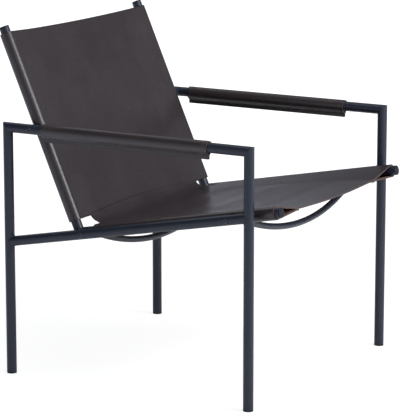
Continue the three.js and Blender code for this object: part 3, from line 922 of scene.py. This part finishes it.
seatSpec = dict(
    slingSpec,
    start=chair["rearStation"] + 0.010,
    end=chair["seatTubeLength"] - 0.010,
    flapWidth=0.097,
    seamDrops=(0.0025, 0.0190),  # at the rear end of the wraps and at the front
    middleDrops=(0.004, 0.0250),
    dropPower=1.7,
    endDip=0.0,
    tailCornerInset=0.016,  # where the tail leaves the wraps, inwards from the tube's axis
    tailHalfWidth=0.226,
    tailLap=0.0015,  # over the back's lower edge, at the tail's corners
    tailArch=0.011,
    tailGap=0.0016,  # in front of the back
    tailSteps=28,
    tailSamples=400,
    notchPower=4,  # of the curve from the tail's sides out to the wraps
    waves=(  # length, height, phase of the folds that the pull across the seat leaves
        (0.240, 0.0011, 1.05),
        (0.083, 0.00034, 0.4),
        (0.052, 0.00013, 2.1),
    ),
    waveTurn=2.5,  # of the folds' phase over a metre across
    waveFade=(0.35, 0.08),  # from the seams, as a share of the way to the middle, and from the rear
)


# How far the seam and the middle of the sheet hang below the tube's top at a station. The drop
# goes from its first value to its last by a power of the share of the way.
def dropsAt(spec, station):
    share = np.clip((station - spec["start"]) / (spec["end"] - spec["start"]), 0, 1) ** spec["dropPower"]
    return [first + (last - first) * share for first, last in (spec["seamDrops"], spec["middleDrops"])]


# How far a point is pulled back along the tubes: in proportion to its share of the way to the
# end, and as a parabola over the width, from nothing at the tubes.
def dipAt(spec, station, x):
    middle = np.maximum(0, 1 - (x / chair["halfCradle"]) ** 2)
    share = (station - spec["start"]) / (spec["end"] - spec["start"])
    return spec["endDip"] * share * middle


# Radius of a wrap's middle layer round its tube.
def wrapRadius(spec):
    return chair["tubeRadius"] + chair["fitGap"] + spec["thickness"] / 2


# Half of a sling's section over the way t round it: 0 to 1 the stitched edge of the flap, 1 to 2
# the flap from there to the far side of the tube, 2 to 3 the arc round the tube, 3 to 4 the sheet
# from the tube to the seam, 4 to 5 the sheet from the seam to the middle. Between tube and seam
# the sheet is a straight line that is tangent to the tube, between the seams a parabola, and the
# higher of the two holds, rounded where they meet.
def slingHalf(t, drops, spec):
    seamDrop, middleDrop = drops
    half = chair["halfCradle"]
    radius = wrapRadius(spec)
    seamX = half - spec["flapWidth"] + spec["seamInset"]
    seamZ = radius - seamDrop
    middleZ = radius - middleDrop
    reach = np.hypot(half - seamX, seamZ)
    bearing = np.arctan2(seamZ, seamX - half) % (2 * np.pi)
    top = bearing - np.arccos(radius / reach)
    startX = half + radius * np.cos(top)
    startZ = radius * np.sin(top)
    slope = (startZ - seamZ) / (startX - seamX)

    def sheetZ(x):
        line = seamZ + slope * (x - seamX)
        hang = middleZ + (seamZ - middleZ) * (x / seamX) ** 2
        return (line + hang + np.sqrt((line - hang) ** 2 + 4 * spec["softness"] ** 2)) / 2

    layer = spec["thickness"] + chair["fitGap"]
    edgeX = half - spec["flapWidth"]
    tipX = edgeX + spec["stitchMargin"]
    tipZ = sheetZ(tipX) - layer
    tipBearing = np.arctan2(tipZ, tipX - half) % (2 * np.pi)
    touch = tipBearing + np.arccos(radius / np.hypot(tipX - half, tipZ)) - 2 * np.pi
    offX = half + radius * np.cos(touch)
    offZ = radius * np.sin(touch)
    flapX = tipX + (offX - tipX) * (t - 1)
    flapZ = tipZ + (offZ - tipZ) * (t - 1)
    edgePartX = edgeX + (tipX - edgeX) * t
    arcAngle = touch + (top - touch) * (t - 2)
    bandX = startX + (seamX - startX) * (t - 3)
    middleX = seamX * (5 - t)
    pieces = [t < 1, t < 2, t < 3, t < 4]
    x = np.select(pieces, [edgePartX, flapX, half + radius * np.cos(arcAngle), bandX], middleX)
    z = np.select(
        pieces,
        [sheetZ(edgePartX) - layer, flapZ, radius * np.sin(arcAngle), sheetZ(bandX)],
        sheetZ(middleX),
    )
    return x, z


# Stations of the rows, closer together beside the bolt.
def rowStations(spec, station):
    even = np.arange(spec["start"], spec["end"], spec["rowSpacing"])
    even = even[np.abs(even - station) > spec["boltClear"]]
    near = station + np.arange(-spec["boltRows"], spec["boltRows"] + 1) * spec["boltRowSpacing"]
    return np.unique(np.concatenate([even, near, [spec["end"]]]))


# The openings at a bolt station for the spacer, in the outer side of the wrap, and for the bow,
# in the flap. Each is an ellipse in way round and station: the hole's arc round the wrap, and the
# stretch of the flap that lies nearer to the bow's line than the slot's radius.
def boltOpenings(spec, station, sag):
    radius = wrapRadius(spec)
    ways = np.linspace(1, 3, spec["waySamples"])
    x, z = slingHalf(ways, dropsAt(spec, station), spec)
    outerWay = np.interp(0.0, z[ways > 2], ways[ways > 2])
    perWay = np.hypot(np.diff(x), np.diff(z))[-1] / (ways[1] - ways[0])
    holeArc = radius * np.arcsin(spec["holeRadius"] / radius)
    openings = [(outerWay, station, holeArc / perWay, spec["holeRadius"])]
    arc = arcRadius(sag)
    away = np.abs(np.hypot(x, z - (arc - sag)) - arc)
    flap = ways < 2
    crossed = ways[flap][away[flap] < spec["slotRadius"]]
    if len(crossed):
        centre = (crossed[0] + crossed[-1]) / 2
        openings.append((centre, station, (crossed[-1] - crossed[0]) / 2, spec["slotRadius"]))
    return openings


# A grid with its openings: the corners of the quads round each ellipse are moved onto it, along
# the line from its centre, and the quads inside are left out.
def opened(t, v, faces, openings):
    for centreT, centreV, halfT, halfV in openings:
        distance = np.hypot((t - centreT) / halfT, (v - centreV) / halfV)
        flat = distance.ravel()
        inside = (flat[faces] < 1).sum(axis=1) >= 2
        rim = np.intersect1d(np.unique(faces[inside]), np.unique(faces[~inside]))
        pull = np.ones(flat.shape)
        pull[rim] = flat[rim]
        pull = pull.reshape(t.shape)
        t = centreT + (t - centreT) / pull
        v = centreV + (v - centreV) / pull
        faces = faces[~inside]
    return t, v, faces


# A sling's grid: the half section to +X from the flap's edge to the middle, then mirrored. The
# sign of each column tells its side.
def slingGrid(spec, station, sag):
    rows = rowStations(spec, station)
    ways = wayRound(spec["counts"])
    t = np.concatenate([ways, ways[-2::-1]])[None, :] + 0 * rows[:, None]
    v = rows[:, None] + 0 * t
    columns = t.shape[1]
    right = np.arange(columns) < len(ways)
    faces = gridQuads(len(rows), columns)
    openings = boltOpenings(spec, station, sag)
    onRight = np.broadcast_to(right, t.shape).ravel()[faces].all(axis=1)
    tRight, vRight, rightFaces = opened(t, v, faces[onRight], openings)
    tLeft, vLeft, leftFaces = opened(t, v, faces[~onRight], openings)
    t = np.where(right, tRight, tLeft)
    v = np.where(right, vRight, vLeft)
    x, z = slingHalf(t, dropsAt(spec, v), spec)
    return x, v, z, t, np.where(right, 1.0, -1.0), np.concatenate([rightFaces, leftFaces])


# The seams' lines on both faces of a sling, half its thickness out along the section's normal.
def slingStitching(name, spec, axes):
    inset = spec["seamEndInset"]
    rows = np.linspace(spec["start"] + inset, spec["end"] - inset, spec["seamSteps"])
    drops = dropsAt(spec, rows)
    parts = []
    for side in (-1, 1):
        mirror = np.array([side, 1.0, 1.0])
        for way in spec["seamWays"]:
            x, z = slingHalf(np.full(rows.shape, way), drops, spec)
            nextX, nextZ = slingHalf(np.full(rows.shape, way + spec["seamProbe"]), drops, spec)
            out = stacked(nextZ - z, 0 * x, x - nextX)
            out /= np.linalg.norm(out, axis=1, keepdims=True)
            path = stacked(x, rows, z) + out * (spec["thickness"] / 2)
            path[:, 1] -= dipAt(spec, rows, path[:, 0])
            parts.append(stitchShape(place(path * mirror, axes), turned(out * mirror, axes)))
    return makePiece(name, *joined(parts), [thread], spec["slot"])


# Back: the sling with the middle of its top edge pulled down.
def backSling():
    spec = backSpec
    x, v, z, _, sign, faces = slingGrid(spec, chair["armStation"], bowSpec["sags"]["back_bow"])
    points = place(stacked(x * sign, v - dipAt(spec, v, x), z), backAxes)
    girth = girthOf(x * sign, z)
    uv = stacked(girth, v)
    edgeDistance = np.minimum(v - spec["start"], spec["end"] - v)
    piece = makeHide("back_leather", "back_sling", points, faces, uv, edgeDistance, spec, backAxes[3])
    stitching = slingStitching("back_stitching", spec, backAxes)


# Folds across the seat: a sum of sines along it, whose phase turns a little across it, and which
# fades out to the seams and to the rear.
def tensionFolds(spec, x, v, t):
    fromSeam, fromRear = spec["waveFade"]
    fade = smoothStep((t - 4) / fromSeam) * smoothStep((v - spec["start"]) / fromRear)
    folds = 0
    for length, height, phase in spec["waves"]:
        folds = folds + height * np.sin(2 * np.pi * v / length + phase + spec["waveTurn"] * x)
    return fade * folds


# Tail of the seat: each column bends up from the seat to the back in a quadratic curve that is
# tangent to both, from the share 1 at the wraps to 0 at its end, which lies on the front of the
# back over its lower edge, in an arch. Its sides stay at one width and run out to the wraps by a
# high power of the share.
def seatTail(seatX, seatZ):
    spec = seatSpec
    share = (np.arange(spec["tailSteps"]) / spec["tailSteps"])[:, None]
    endX = seatX * spec["tailHalfWidth"] / seatX.max()
    ways = np.linspace(3, 5, spec["tailSamples"])
    backX, backZ = slingHalf(ways, dropsAt(backSpec, backSpec["start"]), backSpec)
    depth = np.interp(endX, backX[::-1], backZ[::-1]) + spec["thickness"] + spec["tailGap"]
    arch = spec["tailArch"] * (1 - (endX / spec["tailHalfWidth"]) ** 2)
    station = backSpec["start"] + spec["tailLap"] + arch
    lean = np.arcsin(-seatAlong @ backAlong)
    endY = depth * np.cos(lean) - station * np.sin(lean)
    endZ = depth * np.sin(lean) + station * np.cos(lean)
    bendY = endY + (endZ - seatZ) * np.tan(lean)
    atEnd, atSeat = (1 - share) ** 2, share**2
    y = atEnd * endY + (1 - atEnd - atSeat) * bendY + atSeat * spec["start"]
    z = atEnd * endZ + (1 - atEnd) * seatZ
    x = endX + (seatX - endX) * share ** spec["notchPower"]
    return stacked(x, y, z)


# Seat: the sling with its folds, and the tail at its rear.
def seatSling():
    spec = seatSpec
    x, v, z, t, sign, faces = slingGrid(spec, chair["frontStation"], bowSpec["sags"]["front_bow"])
    z = z + tensionFolds(spec, x * sign, v, t)
    points = stacked(x * sign, v, z)
    girth = girthOf(x * sign, z)
    uv = stacked(girth, v)
    columns = x.shape[1]

    # The tail's rows go before the sheet's, in the columns between the wraps.
    cornerX = chair["halfCradle"] - spec["tailCornerInset"]
    kept = np.flatnonzero((x[0] <= cornerX) & (t[0] >= 3))
    tail = seatTail(x[0][kept], z[0][kept])
    tail[..., 0] *= sign[kept]
    tailPoints = np.zeros((len(tail), columns, 3))
    tailPoints[:, kept] = tail
    middle = kept[len(kept) // 2]
    fromEnd = np.diff(np.concatenate([tailPoints[:, middle], points[:1, middle]]), axis=0)
    run = np.cumsum(np.linalg.norm(fromEnd, axis=1)[::-1])[::-1]
    tailUv = stacked(girth[0], spec["start"] - run[:, None])
    tailFaces = gridQuads(len(tail) + 1, columns)
    column = tailFaces[:, 0] % columns
    tailFaces = tailFaces[(column >= kept[0]) & (column < kept[-1])]

    # Distance from the cut edge: the front, the rear ends of the wraps, and the tail's end and sides.
    loose = (t < 3) | (x > cornerX)
    edgeDistance = spec["end"] - v
    edgeDistance = np.where(loose, np.minimum(edgeDistance, v - spec["start"]), edgeDistance)
    beside = np.abs(tailPoints[:, kept[-1:], 0]) - np.abs(tailPoints[..., 0])
    tailDistance = np.minimum(run[0] - run[:, None], beside)

    edgeDistance = np.concatenate([tailDistance, edgeDistance])
    points = np.concatenate([tailPoints, points])
    uv = np.concatenate([tailUv, uv])
    faces = np.concatenate([tailFaces, faces + len(tail) * columns])
    placed = place(points, seatAxes)
    piece = makeHide("seat_leather", "seat_sling", placed, faces, uv, edgeDistance, spec, seatAxes[3])
    stitching = slingStitching("seat_stitching", spec, seatAxes)


backSling()
seatSling()


# Arm sleeves

sleeveSpec = dict(
    slot="sleeve_leather",
    thickness=0.0027,
    frontSpace=0.095,  # from the front leg's axis
    rearSpace=0.031,  # from the arm bolt's axis
    drop=0.014,  # of the lower edge below the rail
    lip=0.008,  # height that is stitched together
    counts=(5, 10, 36),
    rowSpacing=0.006,
    endRows=(0.0075, 0.0105),  # two rows of stitches beside each end
    endTrim=4,  # columns at each edge that those rows leave free
    endStitch=dict(pitch=0.0040, length=0.0031),
    lipSeamShare=0.75,  # of the lip, up from its lower edge
    lipSeamInset=0.002,
    lipSeamSteps=120,
)


# Half of a sleeve's section over the way t round it: 0 to 1 the stitched lip, 1 to 2 from there
# to the side of the rail, 2 to 3 the arc over the top.
def sleeveHalf(t, spec):
    radius = wrapRadius(spec)
    lipX = (spec["thickness"] + chair["fitGap"]) / 2
    edgeZ = -chair["tubeRadius"] - spec["drop"]
    tipZ = edgeZ + spec["lip"]
    touch = np.arctan2(tipZ, lipX) + np.arccos(radius / np.hypot(lipX, tipZ))
    offX = radius * np.cos(touch)
    offZ = radius * np.sin(touch)
    angle = touch + (np.pi / 2 - touch) * (t - 2)
    pieces = [t < 1, t < 2]
    x = np.select(pieces, [lipX + 0 * t, lipX + (offX - lipX) * (t - 1)], radius * np.cos(angle))
    straight = [edgeZ + (tipZ - edgeZ) * t, tipZ + (offZ - tipZ) * (t - 1)]
    return x, np.select(pieces, straight, radius * np.sin(angle))


# Rows of stitches round both ends of a sleeve, and along both faces of its lip.
def sleeveStitching(name, spec, axes, x, z, front, rear):
    out = stacked(np.gradient(z), 0 * x, -np.gradient(x))
    out /= np.linalg.norm(out, axis=1, keepdims=True)
    skin = stacked(x, 0 * x, z) + out * spec["thickness"] / 2
    free = slice(spec["endTrim"], len(x) - spec["endTrim"])
    parts = []
    for end, inwards in ((front, 1), (rear, -1)):
        for inset in spec["endRows"]:
            ring = skin + np.array([0.0, end + inwards * inset, 0.0])
            parts.append(stitchShape(place(ring[free], axes), turned(out, axes)[free], **spec["endStitch"]))
    rows = np.linspace(front + spec["lipSeamInset"], rear - spec["lipSeamInset"], spec["lipSeamSteps"])
    seamZ = -chair["tubeRadius"] - spec["drop"] + spec["lipSeamShare"] * spec["lip"]
    for face in (-1, 1):
        seamX = face * (spec["thickness"] + chair["fitGap"] / 2)
        path = stacked(seamX, rows, seamZ)
        outwards = np.broadcast_to(face * sideways, path.shape)
        parts.append(stitchShape(place(path, axes), outwards))
    return makePiece(name, *joined(parts), [thread], spec["slot"])


# Sleeve: one section carried along the arm rail, its left half the mirror of its right.
def sleeve(name, side):
    spec = sleeveSpec
    front = chair["frontLegY"] + spec["frontSpace"]
    rear = armBolt[1] - spec["rearSpace"]
    axes = (np.array([side * chair["halfFrame"], 0.0, chair["railZ"]]), sideways, -forwards, upright)
    halfX, halfZ = sleeveHalf(wayRound(spec["counts"]), spec)
    x = np.concatenate([halfX, -halfX[-2::-1]])
    z = np.concatenate([halfZ, halfZ[-2::-1]])
    rows = np.linspace(front, rear, int((rear - front) / spec["rowSpacing"]))[:, None]
    girth = girthOf(x[None, :], z[None, :])[0]
    grid = stacked(x, rows, z)
    uv = stacked(girth, rows)
    edgeDistance = np.minimum(np.minimum(rows - front, rear - rows), np.minimum(girth, girth[-1] - girth))
    faces = gridQuads(len(rows), len(x))
    piece = makeHide(f"{name}_sleeve_leather", f"{name}_arm_sleeve", place(grid, axes), faces, uv,
                     edgeDistance, spec, upright)
    stitching = sleeveStitching(f"{name}_sleeve_stitching", spec, axes, x, z, front, rear)


sleeve("left", -1)
sleeve("right", 1)


# Studio

studio = dict(
    floorSize=60.0,
    floorTone=(0.9, 0.9, 0.9, 1.0),
    glowStrength=1.25,
    seenTone=(1.0, 1.0, 1.0, 1.0),
    mirroredTone=(0.84, 0.89, 1.02, 1.0),
    seenFloor=(0.7, 2.6, 0.62, 1.0),  # near and far distance, the glow's share at each
    mirroredFloor=(2.5, 12.0, 0.82, 0.5),  # in gloss: near and far distance, share at each
    shadeCentre=(0.85, -0.5, 0.0),  # of the floor that is darker in gloss, beside the chair
    shadedFloor=(1.0, 2.1, 0.0, 1.0),  # distance from there, share at each
    mirroredSky=(0.0, 0.5, 0.27, 0.09),  # in gloss: low and high, share at each
    worldFill=0.27,
    lampTone=(0.92, 0.955, 1.02),
    lampAim=(0.0, 0.0, 0.4),
    lamps=(
        # name, azimuth and elevation in degrees, distance, width, height, radiance
        ("key_box", 6.0, 26.0, 3.2, 2.1, 1.7, 9.0),
        ("side_card", 50.0, 25.0, 3.2, 0.6, 0.8, 0.5),
        ("front_box", -35.0, 27.0, 4.4, 3.0, 1.9, 0.9),
        ("left_box", -108.0, 14.0, 4.5, 2.2, 1.5, 0.65),
        ("rear_box", 150.0, 40.0, 4.0, 2.0, 2.0, 1.0),
        ("top_box", 0.0, 86.0, 3.0, 2.4, 2.4, 2.5),
    ),
)


# The backdrop's share in what a ray sees, and its tone. The camera's rays see one share, and
# those of gloss and glass another.
def backdropSeen(tree, seenShare, mirroredShare):
    ray = addNode(tree, "LightPath").outputs
    mirrored = mathNode(tree, "MAXIMUM", ray["Is Glossy Ray"], ray["Is Transmission Ray"])
    seen = mathNode(tree, "MULTIPLY", ray["Is Camera Ray"], seenShare)
    faded = mathNode(tree, "MULTIPLY", mirrored, mirroredShare)
    tone = mixColour(tree, mirrored, studio["seenTone"], studio["mirroredTone"])
    return mathNode(tree, "MAXIMUM", seen, faded), mirrored, tone


# Distance of the shaded point from a centre.
def reachNode(tree, centre=(0.0, 0.0, 0.0)):
    where = addNode(tree, "TexCoord").outputs["Object"]
    return addNode(tree, "VectorMath", {0: where, 1: centre}, operation="DISTANCE").outputs["Value"]


# Floor: pale and matt, so that it takes the chair's shadow, and blended by the backdrop's share
# into a glow that makes it white.
def makeFloor():
    half = studio["floorSize"] / 2
    mesh = bpy.data.meshes.new("floor")
    corners = [(-half, -half, 0), (half, -half, 0), (half, half, 0), (-half, half, 0)]
    mesh.from_pydata(corners, [], [(0, 1, 2, 3)])
    floor = addObject("floor", mesh)
    material = bpy.data.materials.new("studio_floor")
    material.use_nodes = True
    tree = material.node_tree
    tree.nodes.clear()
    reach = reachNode(tree)
    far = rangeNode(tree, reach, *studio["mirroredFloor"])
    beside = rangeNode(tree, reachNode(tree, studio["shadeCentre"]), *studio["shadedFloor"])
    mirroredShare = mathNode(tree, "MULTIPLY", far, beside)
    seen, _, tone = backdropSeen(tree, rangeNode(tree, reach, *studio["seenFloor"]), mirroredShare)
    diffuse = addNode(tree, "BsdfDiffuse", dict(Color=studio["floorTone"]))
    glow = addNode(tree, "Emission", dict(Color=tone, Strength=studio["glowStrength"]))
    blend = addNode(tree, "MixShader", {0: seen, 1: diffuse.outputs[0], 2: glow.outputs[0]})
    addNode(tree, "OutputMaterial", {0: blend.outputs[0]})
    mesh.materials.append(material)


# World: white for the camera, fading upwards in gloss, and a plain fill for all other rays.
def makeWorld():
    world = bpy.data.worlds.new("studio")
    bpy.context.scene.world = world
    world.use_nodes = True
    tree = world.node_tree
    background = tree.nodes["Background"]
    split = addNode(tree, "SeparateXYZ", {0: addNode(tree, "TexCoord").outputs["Generated"]})
    sky = rangeNode(tree, split.outputs["Z"], *studio["mirroredSky"])
    seen, mirrored, tone = backdropSeen(tree, 1.0, sky)
    fill = rangeNode(tree, mirrored, 0.0, 1.0, studio["worldFill"], 0.0)
    tree.links.new(tone, background.inputs["Color"])
    strength = mathNode(tree, "MULTIPLY", mathNode(tree, "MAXIMUM", seen, fill), studio["glowStrength"])
    tree.links.new(strength, background.inputs["Strength"])


# Unit vector towards an azimuth, 0 in front and 90 to the right, and an elevation.
def direction(azimuth, elevation):
    a, e = np.radians(azimuth), np.radians(elevation)
    return Vector((np.sin(a) * np.cos(e), -np.cos(a) * np.cos(e), np.sin(e)))


# Lamps: a lamp's energy is its radiance times pi times its area, so that it looks as bright in
# the chair's gloss when its size changes.
def makeLamps():
    for name, azimuth, elevation, distance, width, height, radiance in studio["lamps"]:
        light = bpy.data.lights.new(name, "AREA")
        light.shape = "RECTANGLE"
        light.color = studio["lampTone"]
        light.size = width
        light.size_y = height
        light.energy = radiance * np.pi * width * height
        lamp = addObject(name, light)
        lamp.location = Vector(studio["lampAim"]) + direction(azimuth, elevation) * distance
        lamp.rotation_euler = direction(azimuth, elevation).to_track_quat("Z", "Y").to_euler()


cameraSpec = dict(
    azimuth=-59.804,
    elevation=11.657,
    place=(-4.56341, -2.64942, 1.43331),
    lens=206.26,
    sensor=36.0,
    clipEnd=200.0,
)


# Camera: its place and its turn come from the edges that were fitted in the photograph.
def makeCamera():
    data = bpy.data.cameras.new("camera")
    data.sensor_width = cameraSpec["sensor"]
    data.lens = cameraSpec["lens"]
    data.clip_end = cameraSpec["clipEnd"]
    camera = addObject("camera", data)
    camera.location = cameraSpec["place"]
    camera.rotation_mode = "QUATERNION"
    back = direction(cameraSpec["azimuth"], cameraSpec["elevation"])
    camera.rotation_quaternion = (-back).to_track_quat("-Z", "Y")
    bpy.context.scene.camera = camera


makeFloor()
makeWorld()
makeLamps()
makeCamera()
bpy.context.scene.view_settings.view_transform = "Standard"
print("studio made")
